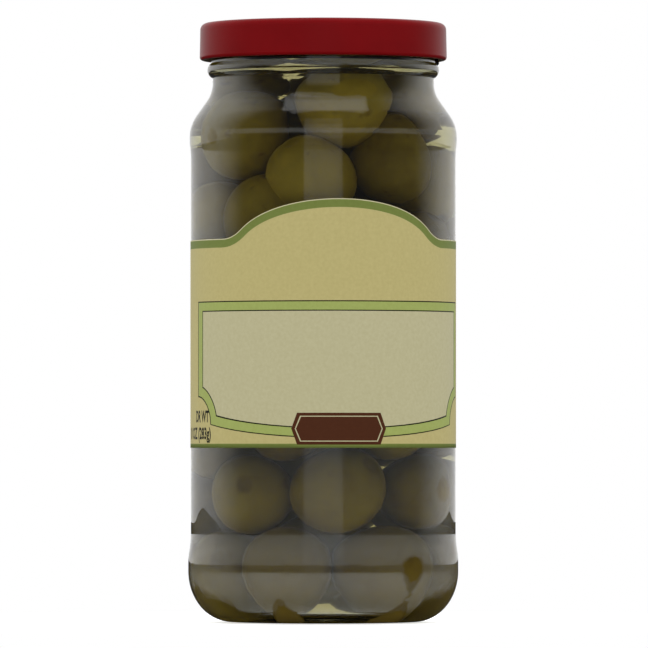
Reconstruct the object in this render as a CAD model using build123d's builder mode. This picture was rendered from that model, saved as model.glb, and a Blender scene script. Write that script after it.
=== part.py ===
"""A shut jar of whole olives: glass jar, twist-off lid, paper label and its contents.

Millimetres, +Z up. The origin is the middle of the bearing ring that the jar stands on,
and the middle of the label faces -Y.
"""

import os
from math import degrees, radians, sin, tan

from build123d import *

# Glass jar, overall
jar_height = 159.75  # bearing ring to sealing rim
body_radius = 35.4  # label panel
body_wall = 2.4

# Foot and heel
bearing_radius = 24.6  # outer edge of the flat that touches the table
bearing_width = 2.4
push_up = 1.8  # hollow under the middle of the base
base_thickness = 3.4  # glass at the middle of the base
floor_fall = 1.2  # inside floor, middle down to its edge
heel_proud = 0.7  # heel band beyond the label panel
heel_height = 13.5  # rounded heel
heel_band = 3.6  # upright band above it
heel_taper = 4.8  # heel band back to the panel
inner_heel_radius = 9.0

# Shoulder
shoulder_proud = 0.35  # shoulder band beyond the label panel
shoulder_taper = 3.0
shoulder_band = 4.6
shoulder_slope = 35.0  # degrees from upright
shoulder_radius = 10.0  # rounding at the top of the body
throat_radius = 8.0  # rounding into the neck
panel_blend = 22.0  # rounding where the panel meets the two bands

# Neck and twist-off finish
neck_radius = 29.6
neck_wall = 2.4
neck_length = 3.9  # upright neck below the bead
bead_proud = 1.4  # bead beyond the neck
bead_height = 4.0
finish_proud = 0.4  # upright glass that carries the threads, beyond the neck
finish_height = 10.45  # bead to rim
rim_rounding = 0.9
thread_count = 4
thread_proud = 1.3  # threads beyond the glass that carries them
thread_bead = 1.1  # radius of the half-round thread
thread_lead = 28.0  # rise in one full turn
thread_arc = 62.0  # degrees, each thread
thread_drop = 9.95  # rim down to the low end of each thread
thread_start = 3.0  # degrees, low end of the first thread

# Lid, drawn tinplate
lid_sheet = 0.25
lid_height = 9.9
lid_gap = 1.5  # threads to the inside of the skirt
skirt_flare = 0.15  # the skirt is this much wider at its foot
lid_corner = 1.8
curl_radius = 0.85
panel_gap = 0.3  # the sunk panel clears the bore by this
panel_drop = 0.6  # panel below the flat ring that presses on the rim
panel_step = 0.8
button_radius = 13.0  # safety button
button_drop = 0.35
button_step = 1.6
lug_reach = 0.55  # lugs clear the finish by this
lug_thickness = 0.65
lug_arc = 25.0  # degrees
lug_lift = 0.05  # lugs above the foot of the curl
lug_turn = 45.0  # degrees, first lug

# Label, paper
label_foot_gap = 24.6  # foot of the panel to the label's lower edge
label_head_gap = 12.8  # top of the arch to the head of the panel
label_length = 210.0  # round the jar
label_paper = 0.12
arch_half_width = 32.6  # the ellipse that the arch is part of
arch_half_height = 16.8
arch_rise = 10.4  # above the straight edge
arch_flare = 10.0  # rounding between arch and straight edge
arch_samples = [step / 12 for step in range(13)]

# Contents
headspace = 7.75  # rim down to the brine

# Places that follow from the sizes
bead_radius = neck_radius + bead_proud
finish_radius = neck_radius + finish_proud
thread_radius = finish_radius + thread_proud
thread_core = thread_radius - thread_bead
bore_radius = neck_radius - neck_wall
inner_radius = body_radius - body_wall
shoulder_outer = body_radius + shoulder_proud
heel_outer = body_radius + heel_proud
bead_foot = jar_height - finish_height - bead_height
neck_corner = bead_foot - neck_length
lid_outer = thread_radius + lid_gap + lid_sheet
lid_top = jar_height + lid_sheet
lid_foot = lid_top - lid_height
brine_level = jar_height - headspace


def slope_fall(width):
    """How far the shoulder comes down while it widens by width."""
    return width / tan(radians(shoulder_slope))


shoulder_corner_level = neck_corner - slope_fall(shoulder_outer - neck_radius)
panel_head = shoulder_corner_level - shoulder_band - shoulder_taper
panel_foot_level = heel_height + heel_band + heel_taper
label_foot = panel_foot_level + label_foot_gap
label_top = panel_head - label_head_gap - arch_rise
label_height = label_top - label_foot


def corner(section, point):
    """The corner of a section nearest to a point."""
    return section.vertices().sort_by_distance(Vector(*point))[0]


def cavity_section(top):
    """Half section of the inside of the glass, from its floor up to top."""
    floor_middle = push_up + base_thickness
    floor_edge = (inner_radius, floor_middle - floor_fall)
    shoulder_corner = (inner_radius, neck_corner - slope_fall(inner_radius - bore_radius))
    throat_corner = (bore_radius, neck_corner)
    with BuildSketch(Plane.XZ) as section:
        with BuildLine():
            TangentArc((0, floor_middle), floor_edge, tangent=(1, 0))
            Polyline(floor_edge, shoulder_corner, throat_corner, (bore_radius, top))
            Polyline((bore_radius, top), (0, top), (0, floor_middle))
        make_face()
        fillet(corner(section, floor_edge), inner_heel_radius)
        fillet(corner(section, shoulder_corner), shoulder_radius - body_wall)
        fillet(corner(section, throat_corner), throat_radius + neck_wall)
    return section.sketch


def glass_section():
    """Half section of the jar as if it were solid glass."""
    ring_inside = (bearing_radius - bearing_width, 0)
    heel_top = (heel_outer, heel_height + heel_band)
    panel_foot = (body_radius, panel_foot_level)
    throat_corner = (neck_radius, neck_corner)
    shoulder_corner = (shoulder_outer, shoulder_corner_level)
    band_foot = (shoulder_outer, panel_head + shoulder_taper)
    panel_top = (body_radius, panel_head)
    bead_low = (neck_radius, bead_foot)
    bead_out = (bead_radius, bead_foot + bead_height / 2)
    bead_high = (finish_radius, bead_foot + bead_height)
    with BuildSketch(Plane.XZ) as section:
        with BuildLine():
            TangentArc((0, push_up), ring_inside, tangent=(1, 0))
            Line(ring_inside, (bearing_radius, 0))
            EllipticalCenterArc(
                (bearing_radius, heel_height),
                heel_outer - bearing_radius,
                heel_height,
                start_angle=-90,
                arc_size=90,
            )
            Polyline((heel_outer, heel_height), heel_top, panel_foot, panel_top, band_foot)
            Polyline(band_foot, shoulder_corner, throat_corner, bead_low)
            ThreePointArc(bead_low, bead_out, bead_high)
            Polyline(bead_high, (finish_radius, jar_height), (0, jar_height), (0, push_up))
        make_face()
        for point in (heel_top, panel_foot, panel_top, band_foot):
            fillet(corner(section, point), panel_blend)
        fillet(corner(section, shoulder_corner), shoulder_radius)
        fillet(corner(section, throat_corner), throat_radius)
        fillet(corner(section, ring_inside), bearing_width / 2)
    return section.sketch


def lid_section():
    """Half section of the drawn sheet, followed along its middle from the button to the curl."""
    half = lid_sheet / 2
    land_level = lid_top - half
    panel_level = land_level - panel_drop
    button_level = panel_level - button_drop
    crown = lid_outer - skirt_flare - lid_corner
    land_inside = bore_radius - panel_gap - half
    skirt_head = (lid_outer - skirt_flare - half, lid_top - lid_corner)
    curl_middle = (lid_outer - curl_radius, lid_foot + curl_radius)
    skirt_foot = (lid_outer - half, curl_middle[1])
    with BuildSketch(Plane.XZ) as section:
        with BuildLine():
            Polyline(
                (0, button_level),
                (button_radius, button_level),
                (button_radius + button_step, panel_level),
                (land_inside - panel_step, panel_level),
                (land_inside, land_level),
                (crown, land_level),
            )
            TangentArc((crown, land_level), skirt_head, tangent=(1, 0))
            Line(skirt_head, skirt_foot)
            CenterArc(curl_middle, curl_radius - half, 0, -300)
        trace(line_width=lid_sheet)
    return section.sketch


def wrapped(point):
    """Front view of a point of the flat label, once the paper lies on the jar."""
    return (body_radius * sin(point.X / body_radius), point.Y)


def above_arch():
    """Front view of what the arched upper edge of the label leaves clear."""
    arch_middle = label_height + arch_rise - arch_half_height
    with BuildSketch() as flat_label:
        Rectangle(label_length, label_height, align=(Align.CENTER, Align.MIN))
        with Locations((0, arch_middle)):
            Ellipse(arch_half_width, arch_half_height)
        arch_corners = flat_label.vertices().sort_by_distance(Vector(0, label_height))[:2]
        fillet(arch_corners, arch_flare)
    arch = flat_label.edges().filter_by(GeomType.LINE, reverse=True).sort_by(Axis.X)
    side = body_radius + 2 * label_paper
    with BuildSketch(Plane.XZ.shift_origin((0, 0, label_foot))) as clear:
        with BuildLine():
            for stretch in arch:
                Spline([wrapped(point) for point in stretch.positions(arch_samples)])
            left_end = wrapped(arch[0] @ 1)
            right_end = wrapped(arch[-1] @ 0)
            clear_top = label_height + arch_rise + arch_flare
            Polyline(
                left_end,
                (-side, label_height),
                (-side, clear_top),
                (side, clear_top),
                (side, label_height),
                right_end,
            )
        make_face()
    return clear.sketch


with BuildPart() as jar:
    revolve(glass_section(), axis=Axis.Z)
    for turn in range(thread_count):
        foot = Plane.XY.offset(jar_height - thread_drop)
        foot = foot.rotated((0, 0, thread_start + turn * 360 / thread_count))
        with BuildLine(foot) as thread:
            Helix(thread_lead, thread_lead * thread_arc / 360, thread_core)
        with BuildSketch(Plane(origin=thread.line @ 0, z_dir=thread.line % 0)):
            Circle(thread_bead)
        sweep(path=thread.line, is_frenet=True)
        with Locations(thread.line @ 0, thread.line @ 1):
            Sphere(thread_bead)
    revolve(cavity_section(top=jar_height), axis=Axis.Z, mode=Mode.SUBTRACT)
    fillet(jar.faces().sort_by(Axis.Z)[-1].edges(), rim_rounding)

with BuildPart() as lid:
    revolve(lid_section(), axis=Axis.Z)
    lug_tip = finish_radius + lug_reach
    for turn in range(thread_count):
        lug_start = lug_turn - lug_arc / 2 + turn * 360 / thread_count
        with BuildSketch(Plane.XZ.rotated((0, 0, lug_start))):
            with Locations((lug_tip, lid_foot + lug_lift)):
                lug_depth = lid_outer - curl_radius - lug_tip
                Rectangle(lug_depth, lug_thickness, align=(Align.MIN, Align.MIN))
        revolve(axis=Axis.Z, revolution_arc=lug_arc)

with BuildPart() as label:
    half_wrap = degrees(label_length / 2 / body_radius)
    with BuildSketch(Plane.XY.offset(label_foot)):
        with BuildLine():
            CenterArc((0, 0), body_radius + label_paper / 2, -90 - half_wrap, 2 * half_wrap)
        trace(line_width=label_paper)
    extrude(amount=label_height + arch_rise)
    extrude(above_arch(), amount=body_radius + 2 * label_paper, mode=Mode.SUBTRACT)
    with BuildSketch(Plane.XZ.shift_origin((0, 0, label_top))):
        behind = 2 * (body_radius + 2 * label_paper)
        Rectangle(behind, 2 * arch_rise, align=(Align.CENTER, Align.MIN))
    extrude(amount=-behind, mode=Mode.SUBTRACT)

with BuildPart() as contents:
    revolve(cavity_section(top=brine_level), axis=Axis.Z)

os.makedirs("parts", exist_ok=True)
for name, piece in {"jar": jar, "lid": lid, "label": label, "contents": contents}.items():
    piece.part.label = name
    export_step(piece.part, f"parts/{name}.step")
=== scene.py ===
"""Looks of a shut jar of whole green olives: glass, brine, olives, twist-off lid and label."""

import random
from math import asin, cos, pi, radians, sin, sqrt

import bmesh
import bpy
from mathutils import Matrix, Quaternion, Vector
from mathutils.geometry import delaunay_2d_cdt


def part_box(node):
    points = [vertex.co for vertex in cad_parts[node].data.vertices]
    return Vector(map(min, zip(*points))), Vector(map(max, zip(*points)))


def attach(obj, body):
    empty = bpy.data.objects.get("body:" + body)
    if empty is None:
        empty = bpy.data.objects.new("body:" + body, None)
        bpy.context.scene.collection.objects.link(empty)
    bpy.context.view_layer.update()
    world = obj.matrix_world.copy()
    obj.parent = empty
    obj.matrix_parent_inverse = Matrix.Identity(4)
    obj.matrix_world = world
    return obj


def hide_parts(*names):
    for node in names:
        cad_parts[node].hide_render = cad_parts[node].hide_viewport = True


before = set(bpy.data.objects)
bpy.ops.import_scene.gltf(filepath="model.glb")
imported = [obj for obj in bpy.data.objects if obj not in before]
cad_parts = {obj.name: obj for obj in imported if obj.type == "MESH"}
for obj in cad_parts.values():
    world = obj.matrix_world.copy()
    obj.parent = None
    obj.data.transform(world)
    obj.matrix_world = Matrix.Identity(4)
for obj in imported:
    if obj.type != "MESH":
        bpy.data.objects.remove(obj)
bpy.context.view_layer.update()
MM = 0.001

# Places that follow the frame, in metres
table_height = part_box("jar")[0][2]
lid_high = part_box("lid")[1]
label_low, label_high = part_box("label")
fill_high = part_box("contents")[1]
inner_radius = fill_high[0]
body_wall = 2.4 * MM
body_radius = inner_radius + body_wall


# ---------------------------------------------------------------- materials
def linear(code):
    """An sRGB hex colour as linear RGBA."""
    parts = [int(code[i : i + 2], 16) / 255 for i in (1, 3, 5)]
    return [c / 12.92 if c <= 0.04045 else ((c + 0.055) / 1.055) ** 2.4 for c in parts] + [1.0]


def per_mm(size):
    """Noise scale that gives features about size millimetres across."""
    return 1 / (size * MM)


def node(tree, kind, inputs=None, stops=(), **settings):
    """Adds a node: inputs holds a value or a link for each socket, stops a ramp's colours."""
    made = tree.nodes.new(kind)
    for key, value in settings.items():
        setattr(made, key, value)
    for key, value in (inputs or {}).items():
        if isinstance(value, bpy.types.NodeSocket):
            tree.links.new(value, made.inputs[key])
        else:
            made.inputs[key].default_value = value
    if stops:
        grades = made.color_ramp.elements
        while len(grades) < len(stops):
            grades.new(0.5)
        for grade, (place, code) in zip(grades, stops):
            grade.position = place
            grade.color = linear(code)
    return made


def new_material(name):
    """An empty material: itself, its node tree, its output node and Object coordinates."""
    made = bpy.data.materials.new(name)
    made.use_nodes = True
    tree = made.node_tree
    tree.nodes.clear()
    output = node(tree, "ShaderNodeOutputMaterial")
    return made, tree, output, node(tree, "ShaderNodeTexCoord").outputs["Object"]


def clear_shell(tree, output, surface, tint):
    """Lets lamps through a clear body, so that what lies inside it is lit."""
    shadow = node(tree, "ShaderNodeLightPath").outputs["Is Shadow Ray"]
    through = node(tree, "ShaderNodeBsdfTransparent", {"Color": linear(tint)}).outputs[0]
    mixed = node(tree, "ShaderNodeMixShader", {0: shadow, 1: surface, 2: through})
    tree.links.new(mixed.outputs[0], output.inputs["Surface"])


def flint_glass():
    """Soda-lime flint glass, blown and fire-polished: clear, with long soft mould ripples."""
    made, tree, output, place = new_material("flint_glass_fire_polished")
    swell = {"Vector": place, "Scale": per_mm(22.0), "Detail": 1.0, "Roughness": 0.55}
    height = node(tree, "ShaderNodeTexNoise", swell).outputs["Fac"]
    ripple = node(tree, "ShaderNodeBump", {"Distance": 0.10 * MM, "Height": height})
    skin = {"IOR": 1.52, "Roughness": 0.0, "Transmission Weight": 1.0}
    skin["Base Color"] = linear("#F6FAF6")
    skin["Normal"] = ripple.outputs["Normal"]
    glass = node(tree, "ShaderNodeBsdfPrincipled", skin)
    clear_shell(tree, output, glass.outputs[0], "#F4F7F2")
    return made


def brine():
    """Weak salt and lactic brine: clear water, tinted straw by the olives as it gets deeper."""
    made, tree, output, _ = new_material("brine_clear_straw")
    skin = {"IOR": 1.345, "Roughness": 0.0, "Transmission Weight": 1.0}
    skin["Base Color"] = linear("#FFFFFF")
    liquid = node(tree, "ShaderNodeBsdfPrincipled", skin)
    clear_shell(tree, output, liquid.outputs[0], "#F2EFD6")
    depth = {"Color": linear("#D6CB8C"), "Density": 42.0}
    haze = node(tree, "ShaderNodeVolumeAbsorption", depth)
    tree.links.new(haze.outputs[0], output.inputs["Volume"])
    return made


def olive_skin():
    """Cured olive skin: waxy and mottled, from dull to yellowish green, with brown bruises."""
    made, tree, output, place = new_material("olive_skin_cured")
    tone = node(tree, "ShaderNodeAttribute", attribute_name="tone").outputs["Fac"]
    mottle = {"Vector": place, "Scale": per_mm(9.0), "Detail": 4.0, "Roughness": 0.55}
    cloud = node(tree, "ShaderNodeTexNoise", mottle).outputs["Fac"]
    ripeness = node(tree, "ShaderNodeMath", {0: cloud, 1: 0.45, 2: tone}, operation="MULTIPLY_ADD")
    greens = ((0.12, "#6A5618"), (0.38, "#8B7625"), (0.62, "#A58D2D"), (0.9, "#BFA744"))
    base = node(tree, "ShaderNodeValToRGB", {0: ripeness.outputs[0]}, greens)
    patches = {"Vector": place, "Scale": per_mm(5.0), "Detail": 5.0, "Roughness": 0.62}
    patch = node(tree, "ShaderNodeTexNoise", patches).outputs["Fac"]
    bruise = node(tree, "ShaderNodeValToRGB", {0: patch}, ((0.60, "#FFFFFF"), (0.74, "#A98A52")))
    layers = {0: 0.6, 6: base.outputs["Color"], 7: bruise.outputs["Color"]}
    mixed = node(tree, "ShaderNodeMix", layers, data_type="RGBA", blend_type="MULTIPLY")
    pits = {"Vector": place, "Scale": per_mm(2.2), "Detail": 2.0, "Roughness": 0.55}
    height = node(tree, "ShaderNodeTexNoise", pits).outputs["Fac"]
    pores = node(tree, "ShaderNodeBump", {"Strength": 0.2, "Distance": 0.02 * MM, "Height": height})
    # Brine lies against the skin, so that it has far less gloss than it would have in air
    skin = {"Roughness": 0.42, "IOR": 1.5, "Specular IOR Level": 0.08}
    skin |= {"Subsurface Weight": 0.12, "Subsurface Scale": 3 * MM}
    skin["Subsurface Radius"] = (1.0, 0.8, 0.3)
    skin["Base Color"] = mixed.outputs[2]
    skin["Normal"] = pores.outputs["Normal"]
    waxy = node(tree, "ShaderNodeBsdfPrincipled", skin)
    tree.links.new(waxy.outputs[0], output.inputs["Surface"])
    return made


def baked_lacquer(name, even, deep, finish):
    """Lacquer baked on tinplate: even colour with faint rolling waviness from the roller."""
    made, tree, output, place = new_material(name)
    drift = {"Vector": place, "Scale": per_mm(14.0), "Detail": 3.0, "Roughness": 0.55}
    coat = node(tree, "ShaderNodeTexNoise", drift).outputs["Fac"]
    colour = node(tree, "ShaderNodeValToRGB", {0: coat}, ((0.3, deep), (0.7, even)))
    wave = {"Vector": place, "Scale": per_mm(1.6), "Detail": 2.0, "Roughness": 0.55}
    height = node(tree, "ShaderNodeTexNoise", wave).outputs["Fac"]
    peel = node(tree, "ShaderNodeBump", {"Strength": 0.5, "Distance": 0.012 * MM, "Height": height})
    skin = {"Base Color": colour.outputs["Color"], "Normal": peel.outputs["Normal"]}
    sheet = node(tree, "ShaderNodeBsdfPrincipled", skin | finish)
    tree.links.new(sheet.outputs[0], output.inputs["Surface"])
    return made


def print_ink(name, code):
    """Offset ink on coated label paper under a satin varnish, with the paper's fine fibre."""
    made, tree, output, place = new_material(name)
    mottle = {"Vector": place, "Scale": per_mm(0.9), "Detail": 3.0, "Roughness": 0.55}
    grain = node(tree, "ShaderNodeTexNoise", mottle).outputs["Fac"]
    shade = node(tree, "ShaderNodeValToRGB", {0: grain}, ((0.2, "#F2F0EA"), (0.8, "#FFFFFF")))
    layers = {0: 1.0, 6: linear(code), 7: shade.outputs["Color"]}
    mixed = node(tree, "ShaderNodeMix", layers, data_type="RGBA", blend_type="MULTIPLY")
    felt = {"Vector": place, "Scale": per_mm(0.35), "Detail": 3.0, "Roughness": 0.55}
    height = node(tree, "ShaderNodeTexNoise", felt).outputs["Fac"]
    fibre = node(tree, "ShaderNodeBump", {"Strength": 0.35, "Distance": 0.01 * MM, "Height": height})
    skin = {"Roughness": 0.5, "Specular IOR Level": 0.15}
    skin["Base Color"] = mixed.outputs[2]
    skin["Normal"] = fibre.outputs["Normal"]
    paper = node(tree, "ShaderNodeBsdfPrincipled", skin)
    tree.links.new(paper.outputs[0], output.inputs["Surface"])
    return made


# ------------------------------------------------------------------- pieces
def add_piece(name, mesh, materials, slot, *replaced):
    """Puts a finished mesh in the scene as a piece of the object."""
    piece = bpy.data.objects.new(name, mesh)
    bpy.context.collection.objects.link(piece)
    for material in materials:
        piece.data.materials.append(material)
    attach(piece, "root")
    if replaced:
        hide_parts(*replaced)
    return piece


def skin_rings(shape, rings):
    """Smooth faces between rings of points; a ring of one point is a pole."""
    for first, second in zip(rings, rings[1:]):
        count = max(len(first), len(second))
        for step in range(count):
            after = (step + 1) % count
            around = [first[step % len(first)], second[step % len(second)]]
            around += [second[after % len(second)], first[after % len(first)]]
            shape.faces.new(list(dict.fromkeys(around))).smooth = True


# -------------------------------------------------------------------- brine
BRINE_STEPS = 160  # round the jar
BRINE_BITE = 0.15 * MM  # the brine reaches this far into the glass, so that no gap shows
BRINE_SPACING = 0.4 * MM  # nearer points of the profile are left out
HEEL_INSIDE = 12 * MM  # the rounded edge of the inside floor ends about here
FLOOR_HIGHEST = 8 * MM  # the inside floor lies below this all over


def fill_profile():
    """(radius, height) down the contents' outer surface, from the frame's own mesh."""
    found = {}
    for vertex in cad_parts["contents"].data.vertices:
        radius = (vertex.co.x**2 + vertex.co.y**2) ** 0.5
        found[(round(vertex.co.z, 5), round(radius, 5))] = (radius, vertex.co.z)
    points = [found[key] for key in sorted(found)]
    floor = sorted(p for p in points if p[1] < HEEL_INSIDE)
    wall = [p for p in points if p[1] >= HEEL_INSIDE and p[0] > 20 * MM]
    return floor + sorted(wall, key=lambda p: p[1])


def brine_mesh():
    """The brine as a closed turned mesh, pushed just into the glass, with its level."""
    wide = []
    for radius, height in fill_profile():
        radius_out = radius + BRINE_BITE if radius > 1e-6 else 0
        wide.append((radius_out, height - BRINE_BITE if height < FLOOR_HIGHEST else height))
    profile = [wide[0]]
    for radius, height in wide[1:]:
        step = (radius - profile[-1][0]) ** 2 + (height - profile[-1][1]) ** 2
        if step > BRINE_SPACING**2:
            profile.append((radius, height))
    edge, level = wide[-1][0], fill_high[2]
    profile[-1] = (edge, level)
    profile += [(edge * 0.5, level), (0, level)]
    shape = bmesh.new()
    rings = []
    turns = [2 * pi * step / BRINE_STEPS for step in range(BRINE_STEPS)]
    for radius, height in profile:
        if radius < 1e-7:
            rings.append([shape.verts.new((0, 0, height))])
        else:
            rings.append([shape.verts.new((radius * cos(t), radius * sin(t), height)) for t in turns])
    skin_rings(shape, rings)
    bmesh.ops.recalc_face_normals(shape, faces=shape.faces)
    mesh = bpy.data.meshes.new("brine")
    shape.to_mesh(mesh)
    shape.free()
    mesh.set_sharp_from_angle(angle=radians(35))
    return mesh


# ------------------------------------------------------------------- olives
VIEW_TURN = -7.0  # degrees from the middle of the label to the front of the view
# The olives that are placed one by one, as (azimuth, height, radius): degrees from the front of
# the view, then millimetres; each lies against the glass. The rest settle round them.
FRONT_OLIVES = (
    (-60, 129.0, 11.4),
    (16, 137.5, 11.2),
    (-8, 118.0, 11.2),
    (47, 122.0, 10.6),
    (-50, 34.5, 10.6),
    (10, 35.6, 11.4),
    (71, 35.0, 10.3),
    (-76, 14.0, 10.8),
    (-23, 14.6, 10.9),
    (41, 14.9, 11.4),
    (87, 116.6, 11.0),
    (-116, 140.4, 10.3),
    (-38, 107.5, 10.8),
    (70, 98.0, 10.8),
    (-88, 107.0, 10.6),
    (12, 99.0, 10.8),
    (170, 139.4, 10.3),
    (95, 138.6, 10.4),
    (150, 119.0, 10.8),
    (-140, 120.0, 10.8),
)
# Which way the stem pit faces, for those of them that show it
STEMS = {7: (-0.5, -0.85, 0.25), 8: (0.05, -0.8, -0.75)}
OLIVE_COUNT = 50
OLIVE_SEED = 11
OLIVE_RADII = (10.2, 11.2)  # millimetres, of those that settle
OLIVE_LOWEST = 5.2  # underside of the lowest
OLIVE_HIGHEST = 149.5  # top of the highest
OLIVE_SHRINK = 0.98  # leaves a little brine between neighbours
SETTLING_SWEEPS = 420
PULLED_SWEEPS = 300  # in these the olives are also drawn towards PULL_HEIGHT
PULL_HEIGHT = 78
PULL_SPAN = 60  # the pull is full at this distance from it
STACK_SQUASH = 0.92  # upright distances count for less, so that layers nest
OLIVE_PRESS = 0.1  # neighbours may press into each other by this
LOWEST_LAYER = 8.0  # undersides below this meet the rounded edge of the floor
HEEL_CLEAR = 0.6  # and keep this far from it
OLIVE_STEPS = 28  # round one olive
OLIVE_ROWS = 20  # from pole to pole


def wall_radius(height):
    """Inside radius of the glass at a height, from the contents' profile."""
    profile = [p for p in fill_profile() if p[1] >= 5 * MM]
    for low, high in zip(profile, profile[1:]):
        if low[1] <= height <= high[1] and high[1] > low[1]:
            share = (height - low[1]) / (high[1] - low[1])
            return low[0] + share * (high[0] - low[0])
    return profile[-1][0] if height > profile[-1][1] else profile[0][0]


def push_apart(centres, sizes, placed, pull):
    """One sweep over all pairs: olives that overlap move apart, placed ones stay."""
    for i in range(len(centres)):
        if i >= placed:
            centres[i].z -= pull * (centres[i].z - PULL_HEIGHT) / PULL_SPAN
        for j in range(i):
            apart = centres[i] - centres[j]
            apart.z *= STACK_SQUASH
            gap = sizes[i] + sizes[j] - OLIVE_PRESS - apart.length
            if gap <= 0 or i < placed:
                continue
            push = apart.normalized() * gap * 0.5
            if j < placed:
                centres[i] += push * 2
            else:
                centres[i] += push
                centres[j] -= push


def keep_inside(centre, size, wall):
    """Brings an olive back between floor, level and glass; wall holds a radius for each mm."""
    centre.z = min(max(centre.z, OLIVE_LOWEST + size), OLIVE_HIGHEST - size)
    near = [int(min(max(centre.z + step, 0), 152)) for step in (-5, 0, 5)]
    room = min(wall[level] for level in near) - (size + 0.1)
    if centre.z < size + LOWEST_LAYER:
        room = min(room, inner_radius / MM - size - HEEL_CLEAR)
    out = Vector((centre.x, centre.y))
    if out.length > room:
        out *= room / out.length
        centre.x, centre.y = out


def packed_olives(draw):
    """Centres and radii of the olives, in millimetres."""
    centres, sizes = [], []
    for azimuth, height, size in FRONT_OLIVES:
        turn = radians(azimuth + VIEW_TURN)
        reach = wall_radius(height * MM) / MM - size - 0.15
        centres.append(Vector((reach * sin(turn), -reach * cos(turn), height)))
        sizes.append(size)
    placed = len(centres)
    while len(centres) < OLIVE_COUNT:
        sizes.append(draw.uniform(*OLIVE_RADII))
        turn = draw.uniform(0, 2 * pi)
        out = 21.0 * sqrt(draw.random())
        centres.append(Vector((out * sin(turn), -out * cos(turn), draw.uniform(16, 138))))
    wall = [wall_radius(height * MM) / MM for height in range(153)]
    for sweep in range(SETTLING_SWEEPS):
        push_apart(centres, sizes, placed, 0.10 if sweep < PULLED_SWEEPS else 0.0)
        for centre, size in list(zip(centres, sizes))[placed:]:
            keep_inside(centre, size, wall)
    return centres, sizes


def olive_points(size, length, bend, lumps):
    """Rings of points over one olive, from the stem pit to the nipple at the other end."""
    sink = {0: 1.15, 1: 0.35, OLIVE_ROWS: 0.35}
    rings = []
    for row in range(OLIVE_ROWS + 1):
        polar = pi * row / OLIVE_ROWS
        radius = size * sin(polar) * (1 - 0.05 * cos(polar))
        height = length * cos(polar) - sink.get(row, 0)
        lean = 0.02 * size * cos(bend) * sin(polar) ** 2
        if row in (0, OLIVE_ROWS):
            rings.append([Vector((lean, 0, height))])
            continue
        ring = []
        for step in range(OLIVE_STEPS):
            turn = 2 * pi * step / OLIVE_STEPS
            lump = 1 + 0.012 * sin(2 * turn + lumps[0]) + 0.008 * sin(3 * turn + lumps[1])
            lump += 0.012 * sin(2 * polar + lumps[2]) * sin(turn + lumps[3])
            wide = radius * lump
            ring.append(Vector((wide * cos(turn) + lean, wide * sin(turn), height)))
        rings.append(ring)
    return rings


def olive_body(shape, tone_layer, centre, size, draw, stem):
    """Adds one olive, turned at random or with its stem pit facing along stem."""
    length = size * draw.uniform(1.05, 1.14)
    axis = Vector((draw.gauss(0, 1), draw.gauss(0, 1), draw.gauss(0, 1))).normalized()
    spin = Quaternion(axis, draw.uniform(0, 2 * pi))
    if stem:
        spin = Vector((0, 0, 1)).rotation_difference(Vector(stem).normalized())
    # Those nearer the lid are a little paler
    tone = draw.uniform(-0.08, 0.22) + (centre.z - 80) * 0.0018
    bend = draw.uniform(0, 2 * pi)
    lumps = [draw.uniform(0, 2 * pi) for _ in range(4)]
    rings = []
    for row, points in enumerate(olive_points(size, length, bend, lumps)):
        ring = [shape.verts.new((centre + spin @ point) * MM) for point in points]
        for vertex in ring:
            vertex[tone_layer] = tone - (0.15 if row < 2 else 0)
        rings.append(ring)
    skin_rings(shape, rings)


def olives_mesh():
    """All the olives as one mesh, with the tone of each on its points."""
    draw = random.Random(OLIVE_SEED)
    centres, sizes = packed_olives(draw)
    shape = bmesh.new()
    tone_layer = shape.verts.layers.float.new("tone")
    for index, (centre, size) in enumerate(zip(centres, sizes)):
        olive_body(shape, tone_layer, centre, size * OLIVE_SHRINK, draw, STEMS.get(index))
    mesh = bpy.data.meshes.new("olives")
    shape.to_mesh(mesh)
    shape.free()
    return mesh


# -------------------------------------------------------------------- label
# The print is drawn on the label laid flat, in millimetres: x round the jar from the middle of
# the label, z up from the table
ARCH_RISE = 10.4
ARCH_HALF_WIDTH = 32.6
ARCH_HALF_HEIGHT = 16.8
ARCH_FLARE = 10.0
ARCH_STEPS = 48
FLARE_STEPS = 8
LABEL_HALF = 105.0
LABEL_FOOT = label_low[2] / MM
LABEL_HEAD = label_high[2] / MM
LABEL_TOP = LABEL_HEAD - ARCH_RISE
ARCH_MIDDLE = LABEL_HEAD - ARCH_HALF_HEIGHT
PAPER = 0.12
PAPER_CLEAR = 0.02  # the back of the paper stands off the glass by this
CUT_SPACING = 1.53  # upright cuts, so that the sheet bends round the jar
FRAME_HALF = 43.9
FRAME_TOP = 82.6
FRAME_FOOT = 51.8
FRAME_NOTCH = (47.0, 52.8)  # middle of the hollow corner
FRAME_NOTCH_RADIUS = 10.4
FRAME_BAND = 2.9
PLAQUE_HALF = 10.9
PLAQUE_TIP = 12.4
PLAQUE_FOOT = 47.7
PLAQUE_TOP = 55.4
INKS = {
    "cream": "#C3BE98",
    "green": "#778541",
    "straw": "#C2B77C",
    "black": "#17170B",
    "lime": "#A5B264",
    "brown": "#532A13",
    "paper": "#E6E2D4",
}
# Plain lines of weight as (words, width, right end, foot)
WEIGHT_LINES = (("DR WT", 8.2, -40.6, 53.4), ("10 OZ (283g)", 16.0, -39.6, 48.9))
LETTER_SIZE = 4.2


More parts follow.
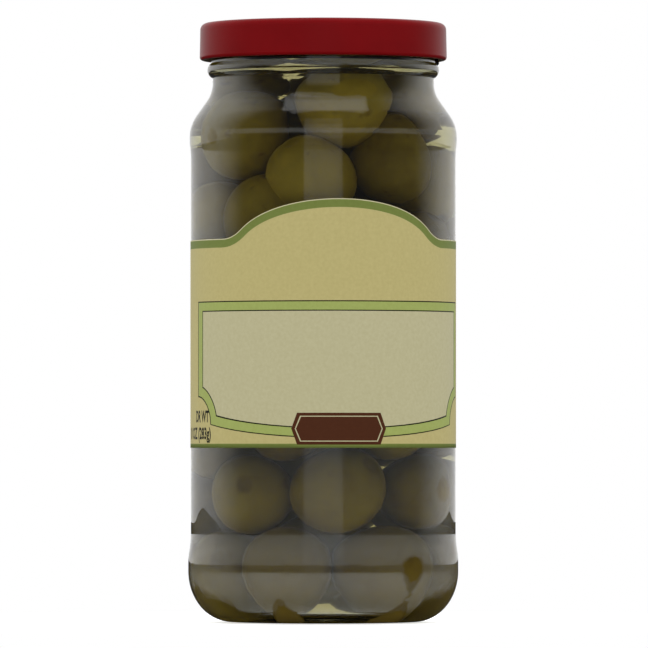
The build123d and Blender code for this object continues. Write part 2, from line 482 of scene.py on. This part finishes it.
def arch_line(inset):
    """Upper edge of the label, moved inwards by inset, from right to left."""
    top = LABEL_TOP - inset
    half_width = ARCH_HALF_WIDTH - inset
    half_height = ARCH_HALF_HEIGHT - inset
    radius = ARCH_FLARE + inset
    lift = top + radius - ARCH_MIDDLE
    angles = [pi / 2 * k / 400 for k in range(401)]

    def reach(angle):
        """Squared distance from the flare's middle to the ellipse at an angle."""
        return (middle - half_width * cos(angle)) ** 2 + (lift - half_height * sin(angle)) ** 2

    low, high = 20.0, 60.0
    for _ in range(50):
        middle = (low + high) / 2
        if min(map(reach, angles)) > radius**2:
            high = middle
        else:
            low = middle
    touch = min(angles, key=reach)
    start = asin(max(-1.0, (half_width * cos(touch) - middle) / radius))
    flare = []
    for k in range(FLARE_STEPS + 1):
        turn = start * k / FLARE_STEPS
        flare.append((middle + radius * sin(turn), top + radius - radius * cos(turn)))
    crown = []
    for k in range(1, ARCH_STEPS):
        turn = touch + (pi - 2 * touch) * k / ARCH_STEPS
        crown.append((half_width * cos(turn), ARCH_MIDDLE + half_height * sin(turn)))
    return flare + crown + [(-x, z) for x, z in reversed(flare)]


def label_ground(above, below):
    """The label without a band of width above along its top and one of width below."""
    foot, top = LABEL_FOOT + below, LABEL_TOP - above
    right = [(-LABEL_HALF, foot), (LABEL_HALF, foot), (LABEL_HALF, top)]
    return right + arch_line(above) + [(-LABEL_HALF, top)]


def frame_line(grow):
    """The printed frame, moved outwards by grow from its inner line."""
    half = FRAME_HALF + grow
    top = FRAME_TOP + grow * 0.85
    foot = FRAME_FOOT - grow * 0.85
    radius = FRAME_NOTCH_RADIUS - grow
    points = [(-half, top), (half, top)]
    start = asin(min(1.0, (FRAME_NOTCH[0] - half) / radius))
    end = pi / 2 - 0.23 * (1 - grow / FRAME_BAND)
    for k in range(13):
        turn = start + (end - start) * k / 12
        points.append((FRAME_NOTCH[0] - radius * sin(turn), FRAME_NOTCH[1] + radius * cos(turn)))
    bow_half, bow_top = points[-1]
    bow = (bow_top - foot) / bow_half**2
    for k in range(1, 16):
        x = bow_half * (1 - k / 8)
        points.append((x, foot + bow * x * x))
    return points + [(-x, z) for x, z in points[14:1:-1]]


def plaque_line(inset):
    """The small plaque, a bar with slightly pointed ends, moved inwards by inset."""
    wide = PLAQUE_HALF - inset
    tip = PLAQUE_TIP - inset * 1.2
    middle = (PLAQUE_FOOT + PLAQUE_TOP) / 2
    ends = [(wide, PLAQUE_FOOT + inset), (tip, middle), (wide, PLAQUE_TOP - inset)]
    return ends + [(-x, z) for x, z in reversed(ends)]


def lettering(words, width, right, foot):
    """Flat faces of a line of plain condensed letters, as points and their order."""
    curve = bpy.data.curves.new("lettering", "FONT")
    curve.body = words
    curve.size = LETTER_SIZE
    curve.resolution_u = 3
    curve.offset = 0.034 * LETTER_SIZE
    holder = bpy.data.objects.new("lettering", curve)
    bpy.context.collection.objects.link(holder)
    bpy.context.view_layer.update()
    evaluated = holder.evaluated_get(bpy.context.evaluated_depsgraph_get())
    flat = bpy.data.meshes.new_from_object(evaluated)
    bpy.data.objects.remove(holder)
    far = max(v.co.x for v in flat.vertices)
    squeeze = width / (far - min(v.co.x for v in flat.vertices))
    points = [((v.co.x - far) * squeeze + right, v.co.y + foot) for v in flat.vertices]
    return points, [tuple(face.vertices) for face in flat.polygons]


def outline_edges(faces):
    """Edges that only one of the faces uses."""
    uses = {}
    for face in faces:
        for a, b in zip(face, face[1:] + face[:1]):
            pair = frozenset((a, b))
            uses[pair] = uses.get(pair, 0) + 1
    return [tuple(pair) for pair, count in uses.items() if count == 1]


def inside(point, outline):
    """Whether a point lies inside a closed outline."""
    x, z = point
    hit = False
    for (x0, z0), (x1, z1) in zip(outline, outline[1:] + outline[:1]):
        if (z0 > z) != (z1 > z) and x < (x1 - x0) * (z - z0) / (z1 - z0) + x0:
            hit = not hit
    return hit


def print_regions():
    """Fields of the print as (outline, ink); a later one lies over an earlier one."""
    return [
        (label_ground(0.0, 0.0), "cream"),
        (label_ground(0.25, 0.0), "green"),
        (label_ground(2.3, 1.1), "straw"),
        (frame_line(FRAME_BAND + 0.35), "black"),
        (frame_line(FRAME_BAND), "lime"),
        (frame_line(0.35), "black"),
        (frame_line(0.0), "cream"),
        (plaque_line(-0.35), "brown"),
        (plaque_line(0.45), "cream"),
        (plaque_line(0.7), "brown"),
    ]


def flat_print(regions):
    """The label laid flat, cut along the outlines of its print: points, faces and letters."""
    points, edges, letters = [], [], []
    for outline, _ in regions:
        base, count = len(points), len(outline)
        points += [Vector(point) for point in outline]
        edges += [(base + k, base + (k + 1) % count) for k in range(count)]
    for line in WEIGHT_LINES:
        spots, faces = lettering(*line)
        letters += [[spots[k] for k in face] for face in faces]
        base = len(points)
        points += [Vector(spot) for spot in spots]
        edges += [(base + a, base + b) for a, b in outline_edges(faces)]
    for k in range(-68, 69):
        x = k * CUT_SPACING
        top = LABEL_TOP if abs(x) > 40 else LABEL_HEAD + 1
        edges.append((len(points), len(points) + 1))
        points += [Vector((x, LABEL_FOOT)), Vector((x, top))]
    whole = list(range(len(regions[0][0])))
    spots, _, faces, *_ = delaunay_2d_cdt(points, edges, [whole], 1, 1e-5)
    return spots, faces, letters


def ink_at(middle, regions, letters):
    """Name of the ink at a point of the print."""
    if middle.x < -35 and middle.y < 57 and any(inside(middle, letter) for letter in letters):
        return "black"
    found = regions[0][1]
    for outline, ink in regions:
        if inside(middle, outline):
            found = ink
    return found


def printed_label():
    """The label as a thin closed sheet, laid round the jar, with an ink on each face."""
    regions = print_regions()
    spots, faces, letters = flat_print(regions)
    order = list(INKS)
    paper = order.index("paper")
    glass_radius = body_radius / MM
    shape = bmesh.new()
    layers = []
    for radius in (glass_radius + PAPER, glass_radius + PAPER_CLEAR):
        ring = []
        for spot in spots:
            turn = spot.x / glass_radius
            place = Vector((radius * sin(turn), -radius * cos(turn), spot.y))
            ring.append(shape.verts.new(place * MM))
        layers.append(ring)
    front, back = layers
    rims = {}
    for face in faces:
        middle = sum((spots[k] for k in face), Vector((0, 0))) / len(face)
        printed = shape.faces.new([front[k] for k in face])
        printed.material_index = order.index(ink_at(middle, regions, letters))
        printed.smooth = True
        under = shape.faces.new([back[k] for k in reversed(face)])
        under.material_index = paper
        under.smooth = True
        for a, b in zip(face, list(face[1:]) + [face[0]]):
            rims.setdefault(frozenset((a, b)), []).append((a, b))
    for pairs in rims.values():
        if len(pairs) == 1:
            a, b = pairs[0]
            shape.faces.new([front[b], front[a], back[a], back[b]]).material_index = paper
    mesh = bpy.data.meshes.new("label")
    shape.normal_update()
    shape.to_mesh(mesh)
    shape.free()
    return mesh


# ---------------------------------------------------------------------- lid
SKIRT_DEPTH = 0.6 * MM  # faces further in than this belong to the inside of the lid


def lacquer_lid(lid):
    """Red lacquer outside, gold lacquer on the faces that look inwards."""
    red = {"Roughness": 0.3, "Specular IOR Level": 0.07}
    gold = {"Roughness": 0.34, "Metallic": 1.0}
    lid.data.materials.clear()
    lid.data.materials.append(
        baked_lacquer("red_lacquer_on_tinplate", "#78070C", "#6E060A", red)
    )
    lid.data.materials.append(
        baked_lacquer("gold_lacquer_on_tinplate", "#8E7038", "#7E622E", gold)
    )
    skirt_inside = lid_high[0] - SKIRT_DEPTH
    top = lid_high[2]
    for face in lid.data.polygons:
        x, y, z = face.center
        rise = face.normal.z
        inward = Vector((x, y)).length < skirt_inside and rise < 0.5 and z < top - 0.1 * MM
        above = rise > 0.2 and z > top - 2.2 * MM
        face.material_index = 1 if inward and not above else 0


# --------------------------------------------------------------- the object
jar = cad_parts["jar"]
jar.data.materials.clear()
jar.data.materials.append(flint_glass())
add_piece("brine", brine_mesh(), [brine()], "contents", "contents")
add_piece("olives", olives_mesh(), [olive_skin()], "contents")
inks = [print_ink(f"label_ink_{ink}", code) for ink, code in INKS.items()]
add_piece("label_print", printed_label(), inks, "label", "label")
lacquer_lid(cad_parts["lid"])

# ------------------------------------------------------------ stage and lights
WHITE = (1, 1, 1, 1)


def floor_material():
    """A pale matt table: it keeps the jar's shadow and turns to plain white further out."""
    made, tree, output, place = new_material("pale_table")
    path = node(tree, "ShaderNodeLightPath").outputs
    matt = node(tree, "ShaderNodeBsdfDiffuse", {"Color": (0.9, 0.9, 0.9, 1)})
    glow = node(tree, "ShaderNodeEmission", {"Color": WHITE, "Strength": 0.55})
    near = node(tree, "ShaderNodeAddShader", {0: matt.outputs[0], 1: glow.outputs[0]})
    reach = node(tree, "ShaderNodeVectorMath", {0: place}, operation="LENGTH").outputs["Value"]
    edge = {"Value": reach, "From Min": 0.06, "From Max": 0.16}
    away = node(tree, "ShaderNodeMapRange", edge, interpolation_type="SMOOTHSTEP").outputs[0]
    eyes = {0: path["Is Camera Ray"], 1: path["Is Transmission Ray"]}
    seen = node(tree, "ShaderNodeMath", eyes, operation="MAXIMUM").outputs[0]
    share = node(tree, "ShaderNodeMath", {0: seen, 1: away}, operation="MULTIPLY").outputs[0]
    white = node(tree, "ShaderNodeEmission", {"Color": WHITE, "Strength": 1.0})
    layers = {0: share, 1: near.outputs[0], 2: white.outputs[0]}
    whole = node(tree, "ShaderNodeMixShader", layers)
    # Other light meets a darker table, and gloss a nearly black one, so that the jar's front
    # isn't veiled
    greys = {"Value": path["Is Glossy Ray"], "To Min": 0.3, "To Max": 0.03}
    grey = node(tree, "ShaderNodeMapRange", greys).outputs[0]
    dim = node(tree, "ShaderNodeBsdfDiffuse", {"Color": grey})
    shown = node(tree, "ShaderNodeMixShader", {0: seen, 1: dim.outputs[0], 2: whole.outputs[0]})
    tree.links.new(shown.outputs[0], output.inputs["Surface"])
    return made


def studio_world():
    """The eye sees plain white; glass and gloss see it behind the jar, and a dim room in front."""
    world = bpy.data.worlds.new("studio")
    bpy.context.scene.world = world
    world.use_nodes = True
    tree = world.node_tree
    tree.nodes.clear()
    path = node(tree, "ShaderNodeLightPath").outputs
    heading = node(tree, "ShaderNodeTexCoord").outputs["Generated"]
    northward = node(tree, "ShaderNodeSeparateXYZ", {"Vector": heading}).outputs["Y"]
    fade = {"Value": northward, "From Min": -0.1, "From Max": 0.5, "To Min": 0.06, "To Max": 0.9}
    behind = node(tree, "ShaderNodeMapRange", fade).outputs[0]
    room = node(tree, "ShaderNodeBackground", {"Color": WHITE, "Strength": behind}).outputs[0]
    fill = node(tree, "ShaderNodeBackground", {"Color": WHITE, "Strength": 1.2}).outputs[0]
    white = node(tree, "ShaderNodeBackground", {"Color": WHITE, "Strength": 1.0}).outputs[0]
    bends = {0: path["Is Glossy Ray"], 1: path["Is Transmission Ray"]}
    bent = node(tree, "ShaderNodeMath", bends, operation="MAXIMUM").outputs[0]
    lit = node(tree, "ShaderNodeMixShader", {0: bent, 1: fill, 2: room}).outputs[0]
    shown = {0: path["Is Camera Ray"], 1: lit, 2: white}
    mixed = node(tree, "ShaderNodeMixShader", shown).outputs[0]
    node(tree, "ShaderNodeOutputWorld", {"Surface": mixed})


def panel_light(name, place, aim, size, power, mirrored):
    """A soft box that faces a point; only a mirrored one shows in glass and gloss."""
    lamp = bpy.data.lights.new(name, "AREA")
    lamp.shape = "RECTANGLE"
    lamp.size, lamp.size_y = size
    lamp.energy = power
    holder = bpy.data.objects.new(name, lamp)
    bpy.context.collection.objects.link(holder)
    holder.location = place
    holder.rotation_euler = (aim - place).to_track_quat("-Z", "Y").to_euler()
    holder.visible_glossy = mirrored
    holder.visible_transmission = mirrored


bpy.ops.mesh.primitive_plane_add(size=6, location=(0, 0, table_height - 0.2 * MM))
table = bpy.context.object
table.name = "table"
table.data.materials.append(floor_material())
studio_world()

front_turn = radians(VIEW_TURN)
view_out = Vector((sin(front_turn), -cos(front_turn), 0))
view_right = Vector((cos(front_turn), sin(front_turn), 0))
jar_middle = Vector((0, 0, 80 * MM))
# (name, to the right, in front, above the middle of the jar, size, watts, mirrored)
SOFT_BOXES = (
    ("left_box", -1.15, 0.35, 0.12, (1.9, 1.6), 2.4, False),
    ("right_box", 1.15, 0.35, 0.12, (1.9, 1.6), 2.4, False),
    ("front_strip", 0.0, 1.5, 0.12, (0.92, 1.4), 1.2, True),
    ("top_box", 0.0, 0.0, 1.1, (1.0, 1.0), 2.2, True),
)
for name, side, ahead, rise, size, power, mirrored in SOFT_BOXES:
    place = jar_middle + view_right * side + view_out * ahead + Vector((0, 0, rise))
    panel_light(name, place, jar_middle, size, power, mirrored)

# ------------------------------------------------------------------- camera
VIEW_WIDTH = 173.34 * MM  # what the view takes in, at the jar's axis
VIEW_HEIGHT = 79.635 * MM  # its middle, above the table
AXIS_LEFT = 0.2 * MM  # the jar's axis lies this far left of the middle
DISTANCE = 2.2
EYE_HEIGHT = 46 * MM
SENSOR = 36.0

camera = bpy.data.cameras.new("camera")
camera.sensor_width = SENSOR
camera.lens = SENSOR * DISTANCE / VIEW_WIDTH
camera.clip_end = 20
camera.shift_x = AXIS_LEFT / VIEW_WIDTH
camera.shift_y = (VIEW_HEIGHT - EYE_HEIGHT) / VIEW_WIDTH
eye = bpy.data.objects.new("camera", camera)
bpy.context.collection.objects.link(eye)
eye.location = view_out * DISTANCE + Vector((0, 0, EYE_HEIGHT))
eye.rotation_euler = (radians(90), 0, front_turn)
bpy.context.scene.camera = eye
bpy.context.scene.view_settings.view_transform = "Standard"
